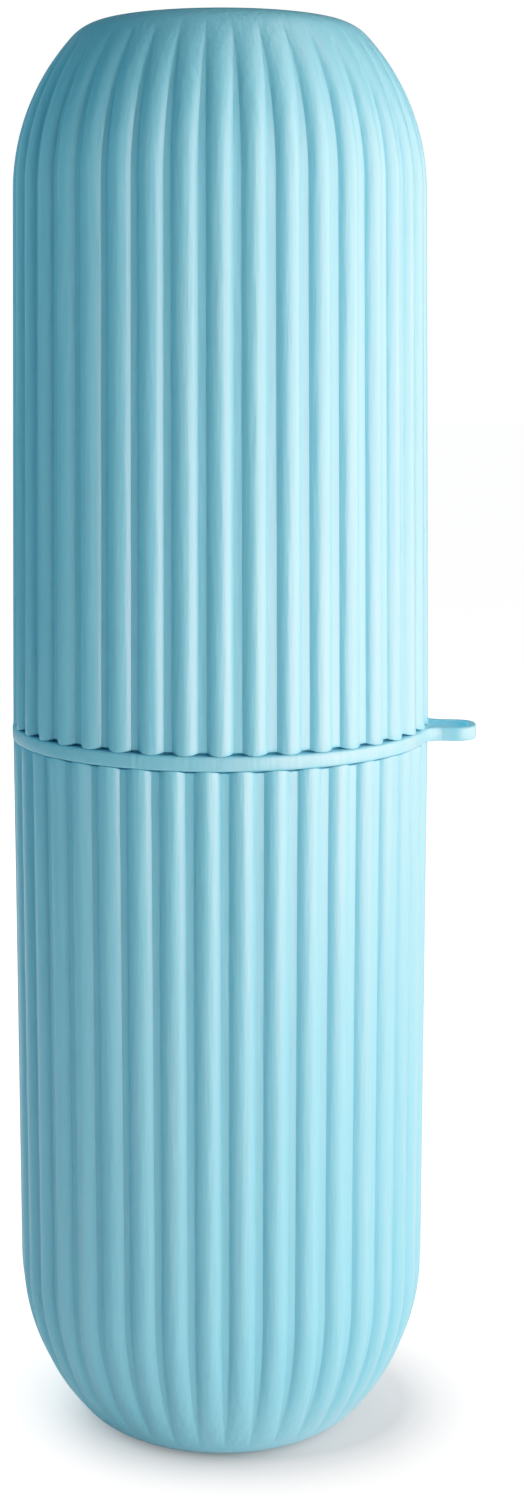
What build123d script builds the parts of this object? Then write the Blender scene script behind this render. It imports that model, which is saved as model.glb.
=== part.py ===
from build123d import *
import math
import os

# A travel case for toothbrushes: two ribbed cups set mouth to mouth on a joining ring.
# Lengths are millimetres and angles are degrees. Z is up, the viewer looks along +Y with +X
# on the right, and the origin is the centre of the flat foot that the case stands on.

# The cup: one moulding, used below with its mouth up and above with its mouth down
CUP_HEIGHT = 99.0  # from the mouth to the flat end
CREST_RADIUS = 29.85  # over the ribs, at the mouth
DRAFT = 0.45  # lean of the walls, which lets the cup out of its mould
DOME_HEIGHT = 23.7  # from where the wall begins to curve in, up to the flat end
DOME_ROUND = 32.1  # radius that the wall curves in by, over the ribs
VALLEY_ROUND = 35.1  # the same between the ribs: larger, so that the valleys run out up the dome
END_ROUND = 6.5  # smaller radius that leads on to the flat end
CUP_WALL = 1.5  # between the ribs

# The ribs: round-backed, sinking into the dome until each ends in a point
RIB_COUNT = 39
RIB_HEIGHT = 0.9  # how far a rib stands out of the wall
RIB_ROUND = 2.15  # radius of a rib's back
RIB_SINK = 0.3  # how far under the flat end the ribs would reach
RIB_END = 60.0  # where a rib's core stops, up the dome, past the rib's point

# The rim: the ribs' ends and the wall between them slope up from the joint, but for a lip inside
RIM_STEP = 0.35  # how high the slope is at the wall
RIM_STEP_DEPTH = 0.8  # how far in from the wall's outside the lip starts

# The joining ring: a band that shows, a sleeve that plugs into both cups, and a cord loop
BAND_HEIGHT = 2.0
BAND_PROUD = 0.1  # how far the band stands out past the ribs
BAND_ROUND = 0.35  # rounding of the band's and the loop's edges
SLEEVE_DEPTH = 11.0  # into each cup
SLEEVE_WALL = 1.5
SLEEVE_LEAD = 0.6  # bevel that leads the sleeve into a cup
SLEEVE_PLAY = 0.07  # between the sleeve and a cup's bore, all round
BORE_SPARE = 1.0  # how far a cup's bore runs on past the sleeve's end

# The loop, in plan: a thin flat band bent out from the ring and back
LOOP_REACH = 6.7  # how far it stands out past the band
LOOP_WIDTH = 7.8
LOOP_WALL = 1.2
LOOP_CORNER = 2.9  # outer radius of its two corners
LOOP_ROOT = 2.6  # radius that leads the ring into the loop

# How each piece is turned about the case's axis
UPPER_TURN = -0.1  # from the viewer's side to the nearest rib of the upper cup
LOWER_TURN = -3.6  # the same, on the lower cup
LOOP_TURN = -5.0  # from +X, towards the viewer

# Derived radii and heights
WALL_RADIUS = CREST_RADIUS - RIB_HEIGHT
BORE_RADIUS = WALL_RADIUS - CUP_WALL
BORE_DEPTH = SLEEVE_DEPTH + BORE_SPARE
BAND_RADIUS = CREST_RADIUS + BAND_PROUD
SLEEVE_RADIUS = BORE_RADIUS - SLEEVE_PLAY
SLEEVE_BORE = SLEEVE_RADIUS - SLEEVE_WALL
BAND_BOTTOM = CUP_HEIGHT
BAND_TOP = BAND_BOTTOM + BAND_HEIGHT
SLICE_ANGLE = 360.0 / RIB_COUNT
VIEWER_SIDE = -90.0  # the way to the viewer, as a turn about Z from +X
OVERCUT = 1.0  # how far a cutting solid runs past what it cuts


def meridian(shift, inset, dome_round, end_height, start_height, last_angle=90):
    """The wall, the dome's round and the end's round, shifted towards the axis and inset."""
    lean = math.radians(DRAFT)
    dome_height = CUP_HEIGHT - DOME_HEIGHT
    dome_radius = CREST_RADIUS - shift - dome_round / math.cos(lean) - dome_height * math.tan(lean)
    meeting = math.degrees(math.asin((end_height - END_ROUND - dome_height) / (dome_round - END_ROUND)))
    meeting_radius = dome_radius + (dome_round - END_ROUND) * math.cos(math.radians(meeting))
    start_radius = CREST_RADIUS - shift - inset / math.cos(lean) - start_height * math.tan(lean)
    dome = CenterArc((dome_radius, dome_height), dome_round - inset, DRAFT, meeting - DRAFT)
    end = CenterArc((meeting_radius, end_height - END_ROUND), END_ROUND - inset, meeting, last_angle - meeting)
    wall = Line((start_radius, start_height), dome @ 0)
    return [Plane.XZ * wall, Plane.XZ * dome, Plane.XZ * end]


def turned_solid(inset, angle):
    """The solid of revolution inside the wall between the ribs, from the mouth up to a flat end."""
    wall, dome, end = meridian(RIB_HEIGHT, inset, VALLEY_ROUND, CUP_HEIGHT, 0.0)
    top = Line(end @ 1, (0, 0, CUP_HEIGHT - inset))
    axis = Line((0, 0, CUP_HEIGHT - inset), (0, 0, 0))
    base = Line((0, 0, 0), wall @ 0)
    return revolve(make_face([wall, dome, end, top, axis, base]), Axis.Z, revolution_arc=angle)


def slice_wedge():
    """The wedge about +X that holds one rib."""
    half = math.radians(SLICE_ANGLE / 2)
    far = 2 * CREST_RADIUS
    side = far * math.tan(half)
    outline = make_face(Polyline((0, 0), (far, -side), (far, side), close=True))
    return Pos(0, 0, -OVERCUT) * extrude(outline, CUP_HEIGHT + 2 * OVERCUT)


def rib():
    """One rib: a round rod along the wall and over the dome, its back at the crests."""
    path = Wire(meridian(0.0, RIB_ROUND, DOME_ROUND, CUP_HEIGHT - RIB_SINK, -OVERCUT, RIB_END))
    section = Plane(origin=path @ 0, z_dir=path % 0) * Circle(RIB_ROUND)
    return sweep(section, path=path)


def rim_cut():
    """What is cut from the rim: all below the mouth, and the slope outside the lip."""
    below = Pos(0, 0, -2 * OVERCUT) * extrude(Circle(2 * CREST_RADIUS), 2 * OVERCUT)
    lip = WALL_RADIUS - RIM_STEP_DEPTH
    slope = [(lip, RIM_STEP), (WALL_RADIUS, RIM_STEP), (CREST_RADIUS, 0), (CREST_RADIUS, -OVERCUT)]
    outline = Polyline((lip, -OVERCUT), *slope, close=True)
    return below + revolve(Plane.XZ * make_face(outline), Axis.Z)


def cavity():
    """The inside of the cup, with a straight bore at the mouth for the sleeve."""
    return turned_solid(CUP_WALL, 360) + extrude(Circle(BORE_RADIUS), BORE_DEPTH)


def cup():
    """One cup, mouth down on the XY plane, with a rib towards +X, built up from equal slices."""
    shell = Rot(0, 0, -SLICE_ANGLE / 2) * turned_solid(0.0, SLICE_ANGLE)
    one_slice = shell + (rib() & slice_wedge())
    one_slice = one_slice - rim_cut() - cavity()
    slices = [Rot(0, 0, number * SLICE_ANGLE) * one_slice.solid() for number in range(RIB_COUNT)]
    return slices[0].fuse(*slices[1:])


def loop_outline(inset):
    """The loop's plan outline, pointing along +X, inset from its outside."""
    width = LOOP_WIDTH - 2 * inset
    tip = BAND_RADIUS + LOOP_REACH - inset
    plate = Pos(tip / 2, 0) * Rectangle(tip, width)
    return fillet(plate.vertices().group_by(Axis.X)[-1], LOOP_CORNER - inset)


def band_and_loop():
    """The band that shows between the cups, and the cord loop moulded on it."""
    disc = Circle(BAND_RADIUS)
    plan = disc + loop_outline(0)
    roots = plan.vertices().filter_by(lambda corner: 0 < corner.X < BAND_RADIUS)
    plate = extrude(fillet(roots, LOOP_ROOT), BAND_HEIGHT)
    rims = plate.edges().group_by(Axis.Z)[0] + plate.edges().group_by(Axis.Z)[-1]
    plate = fillet(rims, BAND_ROUND)
    eye = loop_outline(LOOP_WALL) - disc
    return plate - Pos(0, 0, -OVERCUT) * extrude(eye, BAND_HEIGHT + 2 * OVERCUT)


def sleeve():
    """The sleeve that plugs into both cups, centred on the band, with led-in ends."""
    length = BAND_HEIGHT + 2 * SLEEVE_DEPTH
    tube = Pos(0, 0, -SLEEVE_DEPTH) * extrude(Circle(SLEEVE_RADIUS), length)
    ends = tube.edges().group_by(Axis.Z)[0] + tube.edges().group_by(Axis.Z)[-1]
    return chamfer(ends, SLEEVE_LEAD)


def joining_ring():
    """The whole ring, with the bottom of its band on the XY plane."""
    length = BAND_HEIGHT + 2 * SLEEVE_DEPTH + 2 * OVERCUT
    bore = Pos(0, 0, -SLEEVE_DEPTH - OVERCUT) * extrude(Circle(SLEEVE_BORE), length)
    return band_and_loop() + sleeve() - bore


def main():
    os.makedirs("parts", exist_ok=True)
    upright = cup()
    upper_cup = Pos(0, 0, BAND_TOP) * Rot(0, 0, VIEWER_SIDE + UPPER_TURN) * upright
    lower_cup = Pos(0, 0, BAND_BOTTOM) * Rot(0, 0, VIEWER_SIDE + LOWER_TURN) * Rot(180, 0, 0) * upright
    ring = Pos(0, 0, BAND_BOTTOM) * Rot(0, 0, LOOP_TURN) * joining_ring()
    for name, shape in (("lower_cup", lower_cup), ("connector_ring", ring), ("upper_cup", upper_cup)):
        export_step(shape, f"parts/{name}.step")
        box = shape.bounding_box()
        print(name, "volume", round(shape.volume), "height", round(box.min.Z, 2), round(box.max.Z, 2))


main()
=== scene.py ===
# %% [markdown]
# # A ribbed travel case for toothbrushes
# The case is three mouldings of pale blue polypropylene: a cup below, the same cup turned over
# above, and a ring between them with a flat loop for a cord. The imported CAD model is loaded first
# and is the fixed frame: every piece made here goes where it says, in metres, with +Z up.

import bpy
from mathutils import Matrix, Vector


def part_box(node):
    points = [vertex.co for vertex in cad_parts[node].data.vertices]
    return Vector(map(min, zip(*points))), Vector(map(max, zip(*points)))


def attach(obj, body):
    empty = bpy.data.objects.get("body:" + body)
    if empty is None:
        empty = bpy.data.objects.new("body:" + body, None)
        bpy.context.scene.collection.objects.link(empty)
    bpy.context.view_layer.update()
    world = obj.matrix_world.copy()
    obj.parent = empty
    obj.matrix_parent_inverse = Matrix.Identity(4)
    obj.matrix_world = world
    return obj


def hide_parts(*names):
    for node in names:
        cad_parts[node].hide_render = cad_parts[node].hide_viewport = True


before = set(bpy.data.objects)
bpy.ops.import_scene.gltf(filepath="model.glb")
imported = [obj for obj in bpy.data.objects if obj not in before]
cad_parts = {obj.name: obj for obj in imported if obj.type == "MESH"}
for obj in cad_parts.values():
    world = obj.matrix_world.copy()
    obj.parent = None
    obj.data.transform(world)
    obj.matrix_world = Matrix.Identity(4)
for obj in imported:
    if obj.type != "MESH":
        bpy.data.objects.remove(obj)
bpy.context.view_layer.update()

# %% Modules and units
import math

import bmesh
import bpy
from mathutils import Matrix, Vector

MM = 0.001
QUARTER_TURN = math.pi / 2
cup_low, cup_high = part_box("lower_cup")
CUP_HEIGHT = cup_high.z - cup_low.z
BAND_BOTTOM = cup_high.z
BAND_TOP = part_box("upper_cup")[0].z
print("cup height", round(CUP_HEIGHT / MM, 2), "band", round((BAND_TOP - BAND_BOTTOM) / MM, 2), "mm")

# %% [markdown]
# ## Colour and nodes
# Colours are picked in sRGB, as a colour chart gives them, but Blender's shaders count in linear
# light. One function turns a hex value to linear. Another adds a node to any tree, sets what it
# is told to and links its inputs, so that a material or a shape reads as a list of steps.


# %% Colour and node helpers
def colour(hex_value):
    """An sRGB hex value, such as "8fcbdc", as linear RGBA."""
    parts = [int(hex_value[place : place + 2], 16) / 255 for place in (0, 2, 4)]
    linear = [part / 12.92 if part <= 0.04045 else ((part + 0.055) / 1.055) ** 2.4 for part in parts]
    return (*linear, 1.0)


def add(tree, kind, inputs=(), **settings):
    """Adds a node and sets its properties. Its inputs are given by name or number, or in order.

    Each input is a plain value, or a socket to link, or a node whose first output is linked.
    """
    node = tree.nodes.new(kind)
    for name, value in settings.items():
        setattr(node, name, value)
    given = inputs if isinstance(inputs, dict) else dict(enumerate(inputs))
    for key, value in given.items():
        if isinstance(value, bpy.types.Node):
            value = value.outputs[0]
        if isinstance(value, bpy.types.NodeSocket):
            tree.links.new(value, node.inputs[key])
        else:
            node.inputs[key].default_value = value
    return node


def calculate(tree, operation, *values):
    """Adds one step of arithmetic, such as "MULTIPLY", on values, sockets or nodes."""
    return add(tree, "ShaderNodeMath", values, operation=operation)


WHITE = colour("ffffff")
print("white is", WHITE)

# %% [markdown]
# ## The plastic
# Polypropylene comes out of its mould satin: the steel is spark-eroded and leaves a skin of fine
# pits, and the pull off the steel leaves faint lines along the walls. It has an index of
# refraction of 1.49, lets a little light into its skin, and is coloured right through. A flat
# colour would look like paint, so the colour drifts a little where the melt flowed, the pits and
# the lines go into two bumps, and hands have polished and paled the backs of the ribs, while the
# valleys, which they don't reach, stay duller. The paler colour near the crests is also a painted
# sheen, lighter where the highlights fall. The pits are really 0.05 mm across and the lines
# 0.1 mm apart, too fine for the picture, so they are drawn at 0.35 mm and 1 mm. The very surface
# shines more evenly than the plastic under it, which a thin coat over the shader gives.

# %% The plastic's colours and grain
CUP_COLOUR = "7dd4ec"
DRIFT_COLOUR = "77cfe8"
# the pale colour of scuffed skin, which on the rib crests is also a painted sheen
WEAR_AND_SHEEN_COLOUR = "9bdbee"
RING_COLOUR = "7fd5ec"
DRIFT_SIZE = 38 * MM
SCUFF_SPACING = 2.6 * MM
PIT_SIZE = 0.35 * MM  # drawn coarser than the real 0.05 mm
PIT_DEPTH = 0.03 * MM
LINE_SPACING = 1.0 * MM  # drawn coarser than the real 0.1 mm
LINE_DEPTH = 0.2 * MM
FLOW_RUN, SCUFF_RUN, LINE_RUN = 0.35, 0.06, 0.09  # how fast each changes up the case, of across it
WEAR_AND_SHEEN_SHARE = 0.55  # how far the most scuffed skin, and the painted sheen on the crests, go to the pale colour
DULL, POLISHED = 0.44, 0.36  # roughness
PLASTIC_IOR = 1.49
print("cup colour, linear", [round(part, 3) for part in colour(CUP_COLOUR)])


# %% Where the melt flowed, where hands rub, and the painted sheen on the crests
def melt_drift(tree, place, main, drift):
    """The plastic's own colour, which drifts in long clouds where the melt flowed."""
    flow = add(tree, "ShaderNodeMapping", {"Vector": place, "Scale": (1, 1, FLOW_RUN)})
    clouds = add(tree, "ShaderNodeTexNoise", {"Vector": flow, "Scale": 1 / DRIFT_SIZE, "Detail": 3.0})
    share = add(tree, "ShaderNodeMapRange", {"Value": clouds, "From Min": 0.35, "From Max": 0.65})
    return add(tree, "ShaderNodeMix", {0: share, 6: main, 7: drift}, data_type="RGBA").outputs[2]


def rub_and_sheen_share(tree, place, has_ribs):
    """How much hands have scuffed the skin: in long scuffs, and on ribs only near their crests, where the
    pale colour is also a painted sheen.
    """
    streak = add(tree, "ShaderNodeMapping", {"Vector": place, "Scale": (1, 1, SCUFF_RUN)})
    scuffs = add(tree, "ShaderNodeTexNoise", {"Vector": streak, "Scale": 1 / SCUFF_SPACING, "Detail": 4.0})
    rub_and_sheen = add(tree, "ShaderNodeMapRange", {"Value": scuffs, "From Min": 0.48, "From Max": 0.72})
    if not has_ribs:
        return rub_and_sheen
    height = add(tree, "ShaderNodeAttribute", attribute_name="rib").outputs["Fac"]
    # near the crests the pale colour is also a painted sheen, where highlights fall
    crest = add(tree, "ShaderNodeMapRange", {"Value": height, "From Min": 0.75, "From Max": 1.0})
    return calculate(tree, "MULTIPLY", rub_and_sheen, crest)


print("clouds", round(DRIFT_SIZE / MM), "mm across, scuffs", round(SCUFF_SPACING / MM, 1), "mm apart")


# %% The skin's pits and lines
def moulded_skin(tree, place):
    """The skin's two bumps: the fine pits, and over them the lines of the pull off the mould."""
    pits = add(tree, "ShaderNodeTexNoise", {"Vector": place, "Scale": 1 / PIT_SIZE, "Detail": 2.0})
    pitted = add(tree, "ShaderNodeBump", {"Height": pits, "Strength": 0.3, "Distance": PIT_DEPTH})
    drawn = add(tree, "ShaderNodeMapping", {"Vector": place, "Scale": (1, 1, LINE_RUN)})
    lines = add(tree, "ShaderNodeTexNoise", {"Vector": drawn, "Scale": 1 / LINE_SPACING, "Detail": 3.0})
    lined = {"Height": lines, "Strength": 0.8, "Distance": LINE_DEPTH, "Normal": pitted}
    return add(tree, "ShaderNodeBump", lined)


print("pits", round(PIT_SIZE / MM, 2), "mm across, lines", round(LINE_SPACING / MM, 1), "mm apart")


# %% The two plastics
def blank_material(name):
    """A material with an empty tree, and that tree."""
    material = bpy.data.materials.new(name)
    material.use_nodes = True
    material.node_tree.nodes.clear()
    return material, material.node_tree


def moulded_polypropylene(name, main, drift, has_ribs):
    """Satin moulded polypropylene in two close blues, with its skin, where hands scuff it, and a painted
    sheen on the rib crests.
    """
    material, tree = blank_material(name)
    place = add(tree, "ShaderNodeTexCoord").outputs["Object"]
    rub_and_sheen = rub_and_sheen_share(tree, place, has_ribs)
    # the pale colour is scuffs, and on the rib crests a painted sheen as well
    wear_and_sheen = calculate(tree, "MULTIPLY", rub_and_sheen, WEAR_AND_SHEEN_SHARE)
    base = {0: wear_and_sheen, 6: melt_drift(tree, place, main, drift), 7: colour(WEAR_AND_SHEEN_COLOUR)}
    finish = {
        "Base Color": add(tree, "ShaderNodeMix", base, data_type="RGBA").outputs[2],
        "Roughness": add(tree, "ShaderNodeMapRange", {"Value": rub_and_sheen, "To Min": DULL, "To Max": POLISHED}),
        "IOR": PLASTIC_IOR,
        "Normal": moulded_skin(tree, place),
        "Coat Weight": 0.9,
        "Coat Roughness": 0.3,
        "Coat IOR": 1.5,
        "Subsurface Weight": 0.05,
        "Subsurface Radius": (0.6, 1.0, 1.1),
        "Subsurface Scale": 0.5 * MM,
    }
    add(tree, "ShaderNodeOutputMaterial", {"Surface": add(tree, "ShaderNodeBsdfPrincipled", finish)})
    return material


cup_plastic = moulded_polypropylene(
    "moulded_polypropylene_cup", colour(CUP_COLOUR), colour(DRIFT_COLOUR), has_ribs=True
)
ring_plastic = moulded_polypropylene(
    "moulded_polypropylene_ring", colour(RING_COLOUR), colour(CUP_COLOUR), has_ribs=False
)
print("materials", cup_plastic.name, ring_plastic.name)

# %% [markdown]
# ## The cup's meridian
# A cup is a shape that follows a rule: one outline turned about the axis, with ribs that stand
# out of it. The outline, or meridian, is worked out here from the real sizes: a wall that leans
# so that the cup leaves its mould, a large round over the dome, a small one that leads on to the
# flat end, where the plastic came in at the gate and left its mark, and the inside that the core
# of the mould left. The dome's round is larger between the ribs than over them, so the two
# surfaces draw together and the valleys run out up the dome.

# %% The cup's sizes
CREST_RADIUS = 29.85 * MM  # over the ribs, at the mouth
DRAFT = math.radians(0.45)
DOME_HEIGHT = 23.7 * MM
DOME_ROUND = 32.1 * MM  # over the ribs
VALLEY_ROUND = 35.1 * MM  # between the ribs
END_ROUND = 6.5 * MM
CUP_WALL = 1.5 * MM
RIB_COUNT = 39
RIB_HEIGHT = 0.9 * MM
RIB_ROUND = 2.15 * MM
RIB_SINK = 0.3 * MM  # how far under the flat end the ribs would reach
RIB_END = math.radians(60)  # where a rib's core stops, up the dome
ROOT_ROUND = 0.06 * MM  # in the corner between a rib and the wall
RIM_STEP = 0.35 * MM  # how far the rim steps back between the ribs
RIM_STEP_DEPTH = 0.8 * MM  # how far in from the wall's outside the lip starts
RIM_ROUND = 0.12 * MM
BORE_DEPTH = 12.0 * MM
GATE_RADIUS = 1.7 * MM
GATE_DEPTH = 0.12 * MM
GATE_MARGIN = 0.3 * MM  # of plain flat end round the mark
print("rib pitch at the mouth", round(2 * math.pi * CREST_RADIUS / RIB_COUNT / MM, 2), "mm")


# %% The wall and its two rounds
def round_points(centre, radius, start, end, steps):
    """Points up a round, each with the way out of the surface there."""
    angles = [start + (end - start) * step / steps for step in range(steps + 1)]
    ways = [Vector((math.cos(angle), math.sin(angle))) for angle in angles]
    return [(centre + way * radius, way) for way in ways]


def dome_points(shift, inset, dome_round, end_height, last, steps):
    """Points up the dome and on to the flat end, shifted towards the axis and inset."""
    dome_height = CUP_HEIGHT - DOME_HEIGHT
    dome_radius = CREST_RADIUS - shift - dome_round / math.cos(DRAFT) - dome_height * math.tan(DRAFT)
    meeting = math.asin((end_height - END_ROUND - dome_height) / (dome_round - END_ROUND))
    dome = Vector((dome_radius, dome_height))
    end = dome + Vector((math.cos(meeting), math.sin(meeting))) * (dome_round - END_ROUND)
    points = round_points(dome, dome_round - inset, DRAFT, meeting, steps)
    return points + round_points(end, END_ROUND - inset, meeting, last, steps // 2)[1:]


def wall_point(shift, inset, height):
    """A point on the leaning wall, with the way out."""
    radius = CREST_RADIUS - shift - inset / math.cos(DRAFT) - height * math.tan(DRAFT)
    return Vector((radius, height)), Vector((math.cos(DRAFT), math.sin(DRAFT)))


mouth, mid_wall = [wall_point(RIB_HEIGHT, 0, height)[0] for height in (0, CUP_HEIGHT / 2)]
print("half way up, the wall has leant in by", round((mouth.x - mid_wall.x) / MM, 2), "mm")

# %% [markdown]
# A rib is a round rod that lies along the wall, so how far it stands out of any point between the
# ribs is the rod's radius less the distance from that point to the rod's middle line.

# %% How far the ribs stand out
CORE_STEPS = 60

rib_core = [wall_point(0, RIB_ROUND, 0)[0]]
core_dome = dome_points(0, RIB_ROUND, DOME_ROUND, CUP_HEIGHT - RIB_SINK, RIB_END, CORE_STEPS)
rib_core += [place for place, way in core_dome]


def to_segment(place, start, end):
    """How far a point is from a straight piece of line."""
    along = end - start
    share = max(0.0, min(1.0, (place - start).dot(along) / along.length_squared))
    return (place - start - along * share).length


def rib_share(place):
    """How far the ribs stand out over a point between them, as a share of their height on the wall."""
    core = min(to_segment(place, start, end) for start, end in zip(rib_core, rib_core[1:]))
    return max(0.0, (RIB_ROUND - core) / RIB_HEIGHT)


print("rib height half way up", round(rib_share(mid_wall) * RIB_HEIGHT / MM, 3), "mm")

# %% [markdown]
# Each row of the cup is a point of the meridian with three things that the ribs need to know: the
# way out of the surface, how far the ribs stand out there as a share of their height on the wall,
# and how much of the rim's step it takes.

# %% The rows outside, from the middle of the flat end down to the rim
DOME_STEPS = 36
GATE_MARK = ((0, 1), (0.8, 1), (0.92, 0.4), (1, 0))  # shares of the mark's radius and depth
FLAT_STOPS = (0.6, 0.9)  # shares of the flat end's radius
WALL_STOPS = (0.5, 0.25, 0.01)  # shares of the cup's height


def outer_rows():
    """From the middle of the flat end, down the outside to the rim."""
    dome = dome_points(RIB_HEIGHT, 0, VALLEY_ROUND, CUP_HEIGHT, QUARTER_TURN, DOME_STEPS)[::-1]
    wall = [wall_point(RIB_HEIGHT, 0, CUP_HEIGHT * share) for share in WALL_STOPS]
    flat_edge = dome[0][0].x
    flat = [(radius * GATE_RADIUS, depth * GATE_DEPTH) for radius, depth in GATE_MARK]
    flat += [(GATE_RADIUS + GATE_MARGIN, 0)] + [(flat_edge * share, 0) for share in FLAT_STOPS]
    up = Vector((0, 1))
    rows = [(Vector((radius, CUP_HEIGHT - drop)), up, 0.0, 0.0) for radius, drop in flat]
    return rows + [(place, way, rib_share(place), 0.0) for place, way in dome + wall]


print("rows outside", len(outer_rows()))

# %% The rows round the rim and up the inside
RIM_CURVE = ((1, 0), (0.45, 0.15), (0.12, 0.55), (0, 1))  # height and inset, shares of the round
INNER_STEPS = 14
INNER_STOP = 0.45  # share of the cup's height
BORE_END = 0.3 * MM  # from the end of the straight bore to the leaning wall above it


def rim_rows():
    """Round the rim: the wall's lower edge, which stops short between the ribs, and the lip."""
    straight = Vector((1, 0))
    edge = wall_point(RIB_HEIGHT, 0, 0)[0].x
    lip = edge - RIM_STEP_DEPTH
    bore = edge - CUP_WALL
    rows = []
    for height, inset in RIM_CURVE:
        place = Vector((edge - inset * RIM_ROUND, height * RIM_ROUND))
        rows.append((place, straight, 1.0, 1.0))
    # radius, height as a share of the rim's round, and share of the rim's step
    for radius, height, share in (
        (edge - 2 * RIM_ROUND, 0, 1.0),
        (lip + 0.4 * RIM_ROUND, 0, 1.0),
        (lip, 1, 0.0),
        (lip - RIM_ROUND, 0, 0.0),
        (bore + RIM_ROUND, 0, 0.0),
        (bore + 0.3 * RIM_ROUND, 0.3, 0.0),
    ):
        rows.append((Vector((radius, height * RIM_ROUND)), straight, 0.0, share))
    return rows


def inner_rows():
    """From the rim up the bore and the inside to the middle of the inner end."""
    bore = CREST_RADIUS - RIB_HEIGHT - CUP_WALL
    out = Vector((1, 0))
    rows = [(Vector((bore, RIM_ROUND)), out), (Vector((bore, BORE_DEPTH)), out)]
    rows += [wall_point(RIB_HEIGHT, CUP_WALL, BORE_DEPTH + BORE_END)]
    rows += [wall_point(RIB_HEIGHT, CUP_WALL, CUP_HEIGHT * INNER_STOP)]
    rows += dome_points(RIB_HEIGHT, CUP_WALL, VALLEY_ROUND, CUP_HEIGHT, QUARTER_TURN, INNER_STEPS)
    flat_edge = rows[-1][0].x
    rows += [(Vector((flat_edge * share, CUP_HEIGHT - CUP_WALL)), out) for share in (0.5, 0)]
    return [(place, way, 0.0, 0.0) for place, way in rows]


cup_rows = outer_rows() + rim_rows() + inner_rows()
print("rows in the cup's meridian", len(cup_rows))


# %% The meridian as a line of vertices
def line_of_rows(name, rows):
    """An object of loose vertices, one a row, that holds what each row tells the ribs."""
    mesh = bpy.data.meshes.new(name)
    mesh.from_pydata([(place.x, 0, place.y) for place, way, rib, rim in rows], [], [])
    for attribute, kind in (("way_out", "FLOAT_VECTOR"), ("rib_share", "FLOAT"), ("rim_share", "FLOAT")):
        mesh.attributes.new(attribute, kind, "POINT")
    for number, (place, way, rib, rim) in enumerate(rows):
        mesh.attributes["way_out"].data[number].vector = (way.x, 0, way.y)
        mesh.attributes["rib_share"].data[number].value = rib
        mesh.attributes["rim_share"].data[number].value = rim
    carrier = bpy.data.objects.new(name, mesh)
    bpy.context.scene.collection.objects.link(carrier)
    return carrier


cup_line = line_of_rows("cup_meridian", cup_rows)
print("vertices in the line", len(cup_line.data.vertices))

# %% [markdown]
# ## The ribs, as Geometry Nodes
# A spin would give a plain cup, and thirty-nine modelled ribs would each have to be joined to
# it. Geometry Nodes can do both at once: a flat grid is rolled up so that its columns go round
# the axis and its rows follow the meridian, and each point is then pushed out by the rule of a
# rib. Across a rib, the rule is the arc of its round back. Where that arc falls below the wall,
# the wall shows, and a smooth maximum gives the small round that every mould has in the corner.
# A column of points follows each foot, so the feet stay crisp. Up the dome the ribs draw together
# and each row lowers them a little more, until they run out below the flat end.

# %% The tree's inputs
RIB_INPUTS = {
    "Ribs": RIB_COUNT,
    "Steps over a back": 12,
    "Steps in a valley": 5,
    "Back radius": RIB_ROUND,
    "Root round": ROOT_ROUND,
    "Rib height": RIB_HEIGHT,
    "Rim step": RIM_STEP,
}


def open_tree(name):
    """A tree with a socket for the line, one for each rib input and one for the material."""
    tree = bpy.data.node_groups.new(name, "GeometryNodeTree")
    tree.interface.new_socket("Geometry", in_out="INPUT", socket_type="NodeSocketGeometry")
    for title, value in RIB_INPUTS.items():
        kind = "NodeSocketInt" if isinstance(value, int) else "NodeSocketFloat"
        tree.interface.new_socket(title, in_out="INPUT", socket_type=kind).default_value = value
    tree.interface.new_socket("Material", in_out="INPUT", socket_type="NodeSocketMaterial")
    tree.interface.new_socket("Geometry", in_out="OUTPUT", socket_type="NodeSocketGeometry")
    return tree, add(tree, "NodeGroupInput").outputs


print("inputs", RIB_INPUTS)

# %% Round the axis
CROWDED_SHARE = 0.46  # of the pitch, the most that half a rib takes where ribs draw together


def foot_from_crest(tree, given, sunk, pitch):
    """How far a rib's foot is from its crest, on the wall or where ribs have drawn together."""
    squares = [calculate(tree, "MULTIPLY", side, side) for side in (given["Back radius"], sunk)]
    difference = calculate(tree, "SUBTRACT", *squares)
    foot = calculate(tree, "SQRT", difference)
    most = calculate(tree, "MULTIPLY", pitch, CROWDED_SHARE)
    return calculate(tree, "MINIMUM", foot, most)


def past_crest(tree, given, step, pitch, foot):
    """How far a step lies past its rib's crest: first over the back, then on across the valley.

    The sine draws the steps closer near the feet, where the back is steepest.
    """
    backs, valleys = given["Steps over a back"], given["Steps in a valley"]
    gone = calculate(tree, "DIVIDE", step, backs)
    over = calculate(tree, "MINIMUM", gone, 1.0)
    swing = calculate(tree, "MULTIPLY_ADD", over, 2.0, -1.0)
    sine = calculate(tree, "SINE", swing)
    side = calculate(tree, "DIVIDE", sine, math.sin(1))
    on_back = calculate(tree, "MULTIPLY", side, foot)
    left = calculate(tree, "SUBTRACT", step, backs)
    beyond = calculate(tree, "MAXIMUM", left, 0.0)
    share = calculate(tree, "DIVIDE", beyond, valleys)
    valley = calculate(tree, "MULTIPLY_ADD", foot, -2.0, pitch)
    in_valley = calculate(tree, "MULTIPLY", share, valley)
    return calculate(tree, "ADD", on_back, in_valley)


def round_axis(tree, given, per_rib, column, pitch, foot):
    """How far a column is from the nearest crest, and its angle round the axis."""
    ribs_gone = calculate(tree, "DIVIDE", column, per_rib)
    rib = calculate(tree, "FLOOR", ribs_gone)
    step = calculate(tree, "MODULO", column, per_rib)
    along = past_crest(tree, given, step, pitch, foot)
    from_crest = calculate(tree, "ABSOLUTE", along)
    to_next = calculate(tree, "SUBTRACT", pitch, along)
    across = calculate(tree, "MINIMUM", from_crest, to_next)
    share = calculate(tree, "DIVIDE", along, pitch)
    ribs = calculate(tree, "ADD", rib, share)
    turn = calculate(tree, "DIVIDE", ribs, given["Ribs"])
    return across, calculate(tree, "MULTIPLY", turn, math.tau)


steps_a_rib = RIB_INPUTS["Steps over a back"] + RIB_INPUTS["Steps in a valley"]
print("steps round the cup", RIB_COUNT * steps_a_rib)


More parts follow.
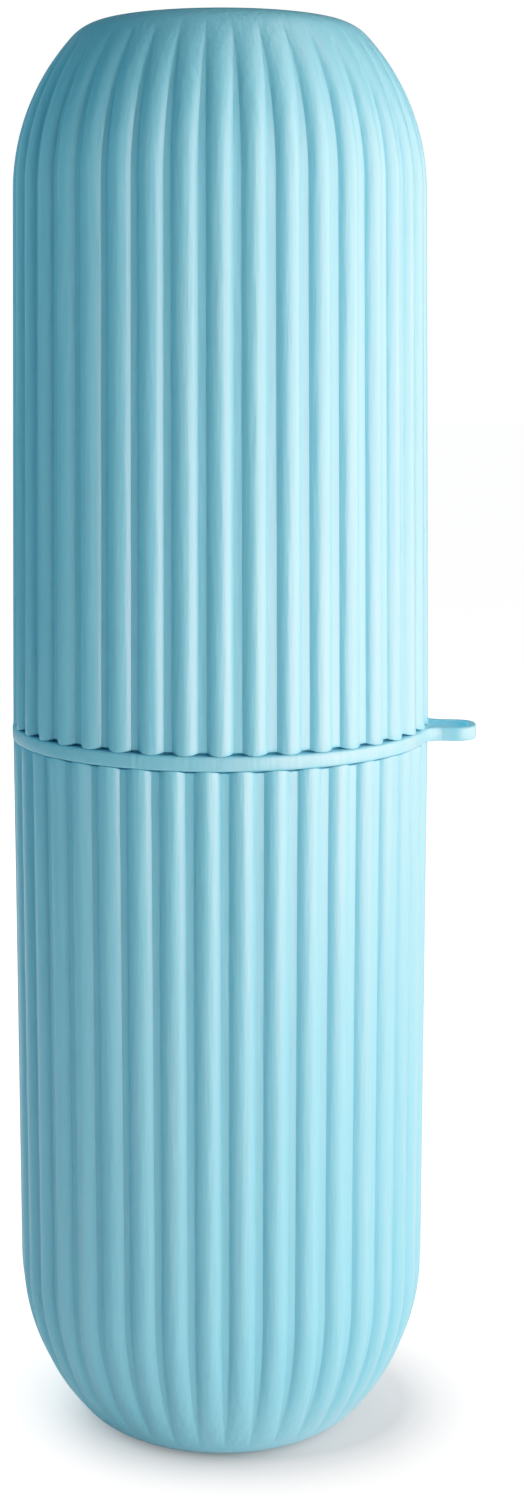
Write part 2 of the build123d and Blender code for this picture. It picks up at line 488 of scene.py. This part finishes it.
# %% Out of the wall, and into place
def rib_rise(tree, given, sunk, across, row_share):
    """How far the rib's round back stands out, or nothing where the wall is higher, and its share."""
    across_squared = calculate(tree, "MULTIPLY", across, across)
    back_squared = calculate(tree, "MULTIPLY", given["Back radius"], given["Back radius"])
    difference = calculate(tree, "SUBTRACT", back_squared, across_squared)
    left = calculate(tree, "MAXIMUM", difference, 0.0)
    back = calculate(tree, "SQRT", left)
    above = calculate(tree, "SUBTRACT", back, sunk)
    full = calculate(tree, "SMOOTH_MAX", above, 0.0, given["Root round"])
    height = calculate(tree, "MULTIPLY", full, row_share)
    share = calculate(tree, "DIVIDE", height, given["Rib height"])
    return height, add(tree, "ShaderNodeClamp", (share,))


def at_row(tree, line, row, kind, held):
    """What the meridian's vertex holds at a row."""
    inputs = {"Geometry": line, "Value": held, "Index": row}
    return add(tree, "GeometryNodeSampleIndex", inputs, data_type=kind)


def told(tree, line, row, kind, attribute):
    """What a row tells the ribs, by the attribute's name."""
    held = add(tree, "GeometryNodeInputNamedAttribute", {"Name": attribute}, data_type=kind)
    return at_row(tree, line, row, kind, held)


def rolled_spot(tree, given, place, way, height, share, rim_share, angle):
    """Where a point goes: out by the rib's height, up by the rim's step, and round by its angle."""
    radius = calculate(tree, "MULTIPLY_ADD", way["X"], height, place["X"])
    up = calculate(tree, "MULTIPLY_ADD", way["Z"], height, place["Z"])
    short = calculate(tree, "SUBTRACT", 1.0, share)
    step = calculate(tree, "MULTIPLY", short, given["Rim step"])
    up = calculate(tree, "MULTIPLY_ADD", step, rim_share, up)
    cosine = calculate(tree, "COSINE", angle)
    sine = calculate(tree, "SINE", angle)
    x = calculate(tree, "MULTIPLY", radius, cosine)
    y = calculate(tree, "MULTIPLY", radius, sine)
    return add(tree, "ShaderNodeCombineXYZ", (x, y, up))


print("a rib's round back is centred", round((RIB_ROUND - RIB_HEIGHT) / MM, 2), "mm inside the wall")

# %% The whole tree
WELD_DISTANCE = 0.001 * MM


def rolled_grid(tree, given, line, rows, per_rib):
    """For each point of the grid, its place in the cup and how near it is to a crest."""
    index = add(tree, "GeometryNodeInputIndex")
    row = calculate(tree, "MODULO", index, rows)
    columns_gone = calculate(tree, "DIVIDE", index, rows)
    column = calculate(tree, "FLOOR", columns_gone)
    position = at_row(tree, line, row, "FLOAT_VECTOR", add(tree, "GeometryNodeInputPosition"))
    place = add(tree, "ShaderNodeSeparateXYZ", (position,)).outputs
    way = add(tree, "ShaderNodeSeparateXYZ", (told(tree, line, row, "FLOAT_VECTOR", "way_out"),)).outputs
    girth = calculate(tree, "MULTIPLY", place["X"], math.tau)
    pitch = calculate(tree, "DIVIDE", girth, given["Ribs"])
    sunk = calculate(tree, "SUBTRACT", given["Back radius"], given["Rib height"])
    foot = foot_from_crest(tree, given, sunk, pitch)
    across, angle = round_axis(tree, given, per_rib, column, pitch, foot)
    height, share = rib_rise(tree, given, sunk, across, told(tree, line, row, "FLOAT", "rib_share"))
    rim_share = told(tree, line, row, "FLOAT", "rim_share")
    return rolled_spot(tree, given, place, way, height, share, rim_share, angle), share


def rib_tree():
    """The tree that rolls a grid into a cup and pushes its ribs out."""
    tree, given = open_tree("ribbed_cup")
    line = given["Geometry"]
    rows = add(tree, "GeometryNodeAttributeDomainSize", {"Geometry": line}).outputs["Point Count"]
    per_rib = calculate(tree, "ADD", given["Steps over a back"], given["Steps in a valley"])
    columns = calculate(tree, "MULTIPLY_ADD", given["Ribs"], per_rib, 1.0)
    grid = add(tree, "GeometryNodeMeshGrid", {"Vertices X": columns, "Vertices Y": rows})
    spot, share = rolled_grid(tree, given, line, rows, per_rib)
    mark = {"Geometry": grid, "Name": "rib", "Value": share}
    marked = add(tree, "GeometryNodeStoreNamedAttribute", mark, data_type="FLOAT", domain="POINT")
    rolled = add(tree, "GeometryNodeSetPosition", {"Geometry": marked, "Position": spot})
    closed = add(tree, "GeometryNodeMergeByDistance", {"Geometry": rolled, "Distance": WELD_DISTANCE})
    smooth = add(tree, "GeometryNodeSetShadeSmooth", {"Geometry": closed})
    real = add(tree, "GeometryNodeRealizeInstances", {"Geometry": smooth})
    dressed = add(tree, "GeometryNodeSetMaterial", {"Geometry": real, "Material": given["Material"]})
    add(tree, "NodeGroupOutput", (dressed,))
    return tree


ribbed_cup = rib_tree()
print("rib tree", len(ribbed_cup.nodes), "nodes")

# %% Making a mesh from a tree
CUP_CREASE = math.radians(35)  # edges that turn by more than this stay sharp


def grown(carrier, tree, material):
    """The plain mesh that a tree makes of an object, after which the modifier is taken off."""
    modifier = carrier.modifiers.new("shape", "NODES")
    modifier.node_group = tree
    for item in tree.interface.items_tree:
        if item.in_out == "INPUT" and item.name == "Material":
            modifier[item.identifier] = material
        elif item.in_out == "INPUT" and item.name in RIB_INPUTS:
            modifier[item.identifier] = RIB_INPUTS[item.name]
    bpy.context.view_layer.update()
    ready = carrier.evaluated_get(bpy.context.evaluated_depsgraph_get())
    mesh = bpy.data.meshes.new_from_object(ready)
    carrier.modifiers.remove(modifier)
    return mesh


def face_outwards(mesh):
    """Turns a closed mesh's faces outwards, and gives its volume and how many edges are open."""
    edit = bmesh.new()
    edit.from_mesh(mesh)
    if edit.calc_volume(signed=True) < 0:
        bmesh.ops.reverse_faces(edit, faces=edit.faces)
    edit.to_mesh(mesh)
    volume = edit.calc_volume(signed=True)
    open_edges = sum(not edge.is_manifold for edge in edit.edges)
    edit.free()
    return volume, open_edges


cup_mesh = grown(cup_line, ribbed_cup, cup_plastic)
bpy.data.objects.remove(cup_line)
cup_volume, cup_open = face_outwards(cup_mesh)
cup_mesh.set_sharp_from_angle(angle=CUP_CREASE)
print("cup", len(cup_mesh.polygons), "faces", round(cup_volume / MM**3), "mm3, open edges", cup_open)

# %% [markdown]
# ## Placing the two cups
# The lower cup is the moulding turned over, its mouth up, and the upper one stands on the ring
# with its mouth down. Their ribs aren't in line in the photograph, because nothing keeps the cups
# from turning. Each place is applied to the mesh, so that the finished objects sit at the origin,
# as the CAD's nodes do.

# %% The lower and the upper cup
VIEWER_SIDE = math.radians(-90)
LOWER_TURN = math.radians(-3.6)
UPPER_TURN = math.radians(-0.1)


def placed(name, mesh, place, body, node):
    """A piece from a copy of a mesh, with its place in the mesh, riding on its body."""
    piece = bpy.data.objects.new(name, mesh.copy())
    piece.data.name = name
    piece.data.transform(place)
    piece.data.update()
    bpy.context.scene.collection.objects.link(piece)
    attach(piece, body)
    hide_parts(node)
    return piece


stand_up = Matrix.Translation((0, 0, BAND_TOP)) @ Matrix.Rotation(VIEWER_SIDE + UPPER_TURN, 4, "Z")
turn_over = Matrix.Translation((0, 0, BAND_BOTTOM)) @ Matrix.Rotation(VIEWER_SIDE + LOWER_TURN, 4, "Z")
turn_over = turn_over @ Matrix.Rotation(math.pi, 4, "X")
upper_cup = placed("upper_cup_shell", cup_mesh, stand_up, "upper_cup", "upper_cup")
lower_cup = placed("lower_cup_shell", cup_mesh, turn_over, "lower_cup", "lower_cup")
for cup in (lower_cup, upper_cup):
    print(cup.name, "end at", round(cup.data.vertices[0].co.z / MM, 1), "mm")

# %% [markdown]
# ## The joining ring
# The ring is one moulding: a band that shows, a sleeve that plugs into both cups, and a flat loop.
# In plan its outline is all arcs and straight lines, so it is drawn by formula, a little further
# in for each step of its rounded edge. The outlines are stacked and skinned, and only the flat
# tops, which have holes in them, are filled.

# %% The ring's sizes
BAND_PROUD = 0.1 * MM
BAND_RADIUS = CREST_RADIUS + BAND_PROUD
BAND_ROUND = 0.35 * MM
SLEEVE_DEPTH = 11.0 * MM
SLEEVE_WALL = 1.5 * MM
SLEEVE_PLAY = 0.07 * MM
SLEEVE_LEAD = 0.6 * MM
SLEEVE_RADIUS = CREST_RADIUS - RIB_HEIGHT - CUP_WALL - SLEEVE_PLAY
SLEEVE_BORE = SLEEVE_RADIUS - SLEEVE_WALL
LOOP_REACH = 6.7 * MM
LOOP_HALF = 3.9 * MM
LOOP_WALL = 1.2 * MM
LOOP_CORNER = 2.9 * MM
LOOP_ROOT = 2.6 * MM
LOOP_TURN = math.radians(-5)
EYE_ROUND = 0.25 * MM
CORNER_ALONG = BAND_RADIUS + LOOP_REACH - LOOP_CORNER
CORNER_HEIGHT = LOOP_HALF - LOOP_CORNER
print("the loop's corners are centred", round(CORNER_ALONG / MM, 2), "mm from the axis")

# %% Outlines in plan
BAND_STEPS, SLEEVE_STEPS = 300, 240
CORNER_STEPS, BEND_STEPS = 14, 12


def arc(centre, radius, start, end, steps):
    """Points along an arc from one angle to another."""
    angles = [start + (end - start) * step / steps for step in range(steps + 1)]
    return [Vector((centre[0] + radius * math.cos(a), centre[1] + radius * math.sin(a))) for a in angles]


def corners(radius, steps):
    """Round the loop's two corners, the one on the right as seen from the axis first."""
    right = arc((CORNER_ALONG, -CORNER_HEIGHT), radius, -QUARTER_TURN, 0, steps)
    return right + arc((CORNER_ALONG, CORNER_HEIGHT), radius, 0, QUARTER_TURN, steps)


def ring_outline(inset):
    """Once round the band and the loop, anticlockwise, drawn further in by an inset."""
    root_height = LOOP_HALF + LOOP_ROOT
    root_along = math.sqrt((BAND_RADIUS + LOOP_ROOT) ** 2 - root_height**2)
    root_angle = math.atan2(root_height, root_along)
    bend = LOOP_ROOT + inset
    into_loop = arc((root_along, -root_height), bend, math.pi - root_angle, QUARTER_TURN, BEND_STEPS)
    out_of_loop = arc((root_along, root_height), bend, -QUARTER_TURN, -math.pi + root_angle, BEND_STEPS)
    band = arc((0, 0), BAND_RADIUS - inset, root_angle, math.tau - root_angle, BAND_STEPS)
    return band + into_loop[1:] + corners(LOOP_CORNER - inset, CORNER_STEPS) + out_of_loop[:-1]


def eye_outline(outset):
    """Once round the loop's eye, anticlockwise, drawn larger by an outset."""
    inner = BAND_RADIUS - outset
    side_angle = math.asin((LOOP_HALF - LOOP_WALL + outset) / inner)
    band_side = arc((0, 0), inner, side_angle, -side_angle, BEND_STEPS)
    return corners(LOOP_CORNER - LOOP_WALL + outset, BEND_STEPS) + band_side


def circle_outline(radius):
    """Once round a circle, anticlockwise."""
    return arc((0, 0), radius, 0, math.tau, SLEEVE_STEPS)[:-1]


print("outline points", len(ring_outline(0)), len(eye_outline(0)), len(circle_outline(1)))

# %% Skinning the outlines
EDGE_STEPS = 4


def rounded_edges(draw, edge, bottom, top):
    """Outlines up a wall whose two edges are rounded, each with its height."""
    levels = []
    for step in range(EDGE_STEPS + 1):
        angle = QUARTER_TURN * step / EDGE_STEPS
        levels.append((draw(edge * (1 - math.sin(angle))), bottom + edge * (1 - math.cos(angle))))
    return levels + [(outline, top + bottom - height) for outline, height in levels[::-1]]


def skin(edit, levels):
    """Walls between each outline and the next, and the first and last rings of vertices."""
    rings = [[edit.verts.new((point.x, point.y, height)) for point in outline] for outline, height in levels]
    for below, above in zip(rings, rings[1:]):
        for here in range(len(below)):
            there = (here + 1) % len(below)
            edit.faces.new((below[here], below[there], above[there], above[here]))
    return rings[0], rings[-1]


def fill_between(edit, rings):
    """Fills a flat face that is bounded by several rings of vertices."""
    edges = []
    for ring in rings:
        for here in range(len(ring)):
            pair = (ring[here], ring[(here + 1) % len(ring)])
            edges.append(edit.edges.get(pair) or edit.edges.new(pair))
    bmesh.ops.triangle_fill(edit, edges=edges, use_beauty=True)


print("outlines up the band", len(rounded_edges(ring_outline, BAND_ROUND, BAND_BOTTOM, BAND_TOP)))

# %% The ring
RING_CREASE = math.radians(30)


def sleeve_levels(bottom, top):
    """Outlines up the sleeve from the band, down its bore, and up its lower half to the band again."""
    outside = circle_outline(SLEEVE_RADIUS)
    lead = circle_outline(SLEEVE_RADIUS - SLEEVE_LEAD)
    bore = circle_outline(SLEEVE_BORE)
    straight = SLEEVE_DEPTH - SLEEVE_LEAD
    above = [(outside, top), (outside, top + straight)]
    above += [(lead, top + SLEEVE_DEPTH), (bore, top + SLEEVE_DEPTH)]
    below = [(bore, bottom - SLEEVE_DEPTH), (lead, bottom - SLEEVE_DEPTH)]
    below += [(outside, bottom - straight), (outside, bottom)]
    return above + below


def joining_ring(bottom, top):
    """The band, the loop with its eye, and the sleeve, as one closed mesh."""
    edit = bmesh.new()
    outer = skin(edit, rounded_edges(ring_outline, BAND_ROUND, bottom, top))
    eye = skin(edit, rounded_edges(eye_outline, EYE_ROUND, bottom, top))
    sleeve = skin(edit, sleeve_levels(bottom, top))
    fill_between(edit, [outer[0], eye[0], sleeve[1]])
    fill_between(edit, [outer[1], eye[1], sleeve[0]])
    bmesh.ops.recalc_face_normals(edit, faces=edit.faces)
    mesh = bpy.data.meshes.new("connector_ring_body")
    edit.to_mesh(mesh)
    edit.free()
    return mesh


ring_mesh = joining_ring(BAND_BOTTOM, BAND_TOP)
ring_volume, ring_open = face_outwards(ring_mesh)
ring_mesh.shade_smooth()
ring_mesh.set_sharp_from_angle(angle=RING_CREASE)
ring_mesh.materials.append(ring_plastic)
turn_loop = Matrix.Rotation(LOOP_TURN, 4, "Z")
ring = placed("connector_ring_body", ring_mesh, turn_loop, "connector_ring", "connector_ring")
print(ring.name, len(ring.data.polygons), "faces", round(ring_volume / MM**3), "mm3, open edges", ring_open)

# %% [markdown]
# ## The floor
# The photograph is a catalogue picture. The case stands on a light table, a white sheet that is
# lit from below as well as from above, so there is no horizon and only a faint shadow where the
# case touches it. A flat sheet that runs far past the picture gives that from any side. Its glow
# is drawn weaker in an oval under the case: a painted shadow, which deepens the real one there.

# %% The light table
FLOOR_REACH = 4.0
SHEET_TONES = ("e4dfdb", "e7e2de")
CLOUDS_PER_METRE = 6.0
# the sheet's light inside the painted shadow under the case, and its full light
GLOW_IN_PAINTED_SHADOW, GLOW_FULL = 0.06, 1.4
SHADE_SHAPE = (0.9, 1, 1)
SHADE_SHIFT = (-0.005, 0, 0)
SHADE_SPREAD = (0.019, 0.036)  # where the glow starts to rise, and where it is full


def light_table():
    """A flat sheet far larger than the case, which stands on its middle."""
    reach = FLOOR_REACH
    corner_points = [(-reach, -reach, 0), (reach, -reach, 0), (reach, reach, 0), (-reach, reach, 0)]
    mesh = bpy.data.meshes.new("floor")
    mesh.from_pydata(corner_points, [], [(0, 1, 2, 3)])
    floor = bpy.data.objects.new("floor", mesh)
    bpy.context.scene.collection.objects.link(floor)
    return floor


def lit_sheet(name):
    """A matt white sheet lit from below, with a painted shadow: it is lit less in an oval where the case
    stands.
    """
    material, tree = blank_material(name)
    place = add(tree, "ShaderNodeTexCoord").outputs["Object"]
    clouds = add(tree, "ShaderNodeTexNoise", {"Vector": place, "Scale": CLOUDS_PER_METRE})
    dark, pale = (colour(tone) for tone in SHEET_TONES)
    tone = add(tree, "ShaderNodeMix", {0: clouds, 6: dark, 7: pale}, data_type="RGBA").outputs[2]
    # painted shadow: an oval under the case where the sheet's own light is weaker
    oval = add(tree, "ShaderNodeVectorMath", (place, SHADE_SHAPE, SHADE_SHIFT), operation="MULTIPLY_ADD")
    far = add(tree, "ShaderNodeVectorMath", (oval,), operation="LENGTH").outputs["Value"]
    glow = add(tree, "ShaderNodeMapRange", (far, *SHADE_SPREAD, GLOW_IN_PAINTED_SHADOW, GLOW_FULL))
    finish = {"Base Color": tone, "Roughness": 0.9, "Emission Color": WHITE, "Emission Strength": glow}
    add(tree, "ShaderNodeOutputMaterial", {"Surface": add(tree, "ShaderNodeBsdfPrincipled", finish)})
    return material


floor = light_table()
floor.data.materials.append(lit_sheet("lit_acrylic_sheet"))
print("floor", [round(side, 1) for side in floor.dimensions], "m, of", floor.data.materials[0].name)

# %% [markdown]
# The glow has to make the sheet white without washing out the case from below. Light linking does
# that: the sheet's own light is let fall on the sheet alone, and what it reflects still lights all.

# %% The glow stays on the sheet
sheet_only = bpy.data.collections.new("lit_by_the_sheet")
sheet_only.objects.link(floor)
floor.light_linking.receiver_collection = sheet_only

# %% [markdown]
# ## The lights
# One large soft light, the key, stands to the right, so each rib is pale on its right and the
# valley beyond it is in its shadow. A low card under the key lifts the lower cup, a small light a
# little behind the case pales its right edge, and one overhead lights the dome. The shadows of
# the photograph are a cool blue, so the fill on the left is blue too. The fill and the light
# behind the case would draw thin white lines on the far ribs, so neither shows in the gloss, and
# the camera sees none of the lights.

# %% The lights
AIM = Vector((0, 0, 0.1))
LIGHTS = (
    # name, azimuth and elevation in degrees, distance, width and height in metres, watts, tint, in gloss
    ("key", 64, 12, 0.5, (0.9, 0.5), 4.4, "ffe9e5", True),
    ("card", 50, -7, 0.4, (0.5, 0.1), 0.75, "ffede9", True),
    ("edge", 110, 4, 0.5, (0.4, 0.3), 0.6, "ffdcd4", True),
    ("overhead", 80, 55, 0.7, (0.5, 0.5), 0.85, "ffe8e2", True),
    ("fill", -100, 26, 0.5, (0.4, 0.14), 0.66, "b4ecff", False),
    ("back", 195, 25, 0.6, (0.5, 0.35), 1.6, "dff3ff", False),
)


def soft_light(name, azimuth, elevation, distance, size, power, tint, in_gloss):
    """A rectangular soft light, placed by its direction from the case and aimed at its middle."""
    data = bpy.data.lights.new(name, "AREA")
    data.shape = "RECTANGLE"
    data.size, data.size_y = size
    data.energy = power
    data.color = colour(tint)[:3]
    side, rise = math.radians(azimuth), math.radians(elevation)
    way = Vector((math.sin(side) * math.cos(rise), -math.cos(side) * math.cos(rise), math.sin(rise)))
    light = bpy.data.objects.new(name, data)
    light.location = AIM + way * distance
    light.rotation_euler = way.to_track_quat("Z", "Y").to_euler()
    light.visible_camera = False
    light.visible_glossy = in_gloss
    bpy.context.scene.collection.objects.link(light)
    return light


print("lights", [soft_light(*facts).name for facts in LIGHTS])

# %% [markdown]
# The room round the table lights the case too: cool, pale below, where the table throws its light
# back, and dark towards the ceiling. Seen past the edge of the table it would be a dull band, so
# the camera sees plain white in its place, as in a picture that was cut out.

# %% The room
WHITE_LEVEL = 1.5  # the brightness that the picture shows as white
ROOM_COLOUR = "b8e5ef"
ROOM_BELOW, ROOM_ABOVE = 0.56, 0.02
CEILING = 0.5  # the height, as a share of straight up, from which the room is darkest


def studio_room():
    """A cool room that lights the case, darker towards its ceiling, and is itself seen as white."""
    world = bpy.data.worlds.new("studio")
    world.use_nodes = True
    tree = world.node_tree
    tree.nodes.clear()
    way = add(tree, "ShaderNodeTexCoord").outputs["Generated"]
    up = add(tree, "ShaderNodeSeparateXYZ", (way,)).outputs["Z"]
    strength = add(tree, "ShaderNodeMapRange", (up, 0.0, CEILING, ROOM_BELOW, ROOM_ABOVE))
    room = add(tree, "ShaderNodeBackground", {"Color": colour(ROOM_COLOUR), "Strength": strength})
    white = add(tree, "ShaderNodeBackground", {"Color": WHITE, "Strength": WHITE_LEVEL})
    seen = add(tree, "ShaderNodeLightPath").outputs["Is Camera Ray"]
    add(tree, "ShaderNodeOutputWorld", {"Surface": add(tree, "ShaderNodeMixShader", (seen, room, white))})
    return world


bpy.context.scene.world = studio_room()
print("world", bpy.context.scene.world.name)

# %% [markdown]
# ## The tone curve
# A camera doesn't clip its lights: its tone curve bends over towards white, so a pale blue gets
# paler before it goes white. The standard view clips each channel, so the same bend is drawn here
# as a curve over the brightness, with white at one and a half times the usual level.

# %% The tone curve
TONE_POINTS = ((0.5, 0.5), (1.0, 0.82), (1.25, 0.93))  # brightness, and what it is shown as
ALL_CHANNELS = 3

view = bpy.context.scene.view_settings
view.view_transform = "Standard"
view.use_curve_mapping = True
view.curve_mapping.white_level = (WHITE_LEVEL, WHITE_LEVEL, WHITE_LEVEL)
bend = view.curve_mapping.curves[ALL_CHANNELS]
for brightness, shown in TONE_POINTS:
    bend.points.new(brightness / WHITE_LEVEL, shown)
view.curve_mapping.update()
print("tone curve points", [tuple(round(part, 2) for part in point.location) for point in bend.points])

# %% [markdown]
# ## The camera
# The camera stands 33 cm in front of the case, at three quarters of its height, and looks
# slightly down. Its shift keeps the case in the photograph's frame: the picture was cropped, so
# the middle of the lens isn't the middle of the frame.

# %% The camera
CAMERA_DISTANCE = 0.3299
CAMERA_HEIGHT = 0.1557
CAMERA_PITCH = math.radians(4.7)
CAMERA_ROLL = math.radians(-0.09)
FRAME_WIDTH, FRAME_HEIGHT = 524, 1500
FOCAL_PIXELS = 2309.0
LENS_MIDDLE = (220.4, 529.6)
SENSOR = 36.0

camera_data = bpy.data.cameras.new("camera")
camera_data.sensor_width = SENSOR
camera_data.lens = SENSOR * FOCAL_PIXELS / FRAME_HEIGHT
camera_data.shift_x = (FRAME_WIDTH / 2 - LENS_MIDDLE[0]) / FRAME_HEIGHT
camera_data.shift_y = (LENS_MIDDLE[1] - FRAME_HEIGHT / 2) / FRAME_HEIGHT
camera = bpy.data.objects.new("camera", camera_data)
look = Matrix.Rotation(QUARTER_TURN - CAMERA_PITCH, 4, "X") @ Matrix.Rotation(CAMERA_ROLL, 4, "Z")
camera.matrix_world = Matrix.Translation((0, -CAMERA_DISTANCE, CAMERA_HEIGHT)) @ look
bpy.context.scene.collection.objects.link(camera)
bpy.context.scene.camera = camera
print("lens", round(camera_data.lens, 2), "mm, turned down", round(math.degrees(CAMERA_PITCH), 1))
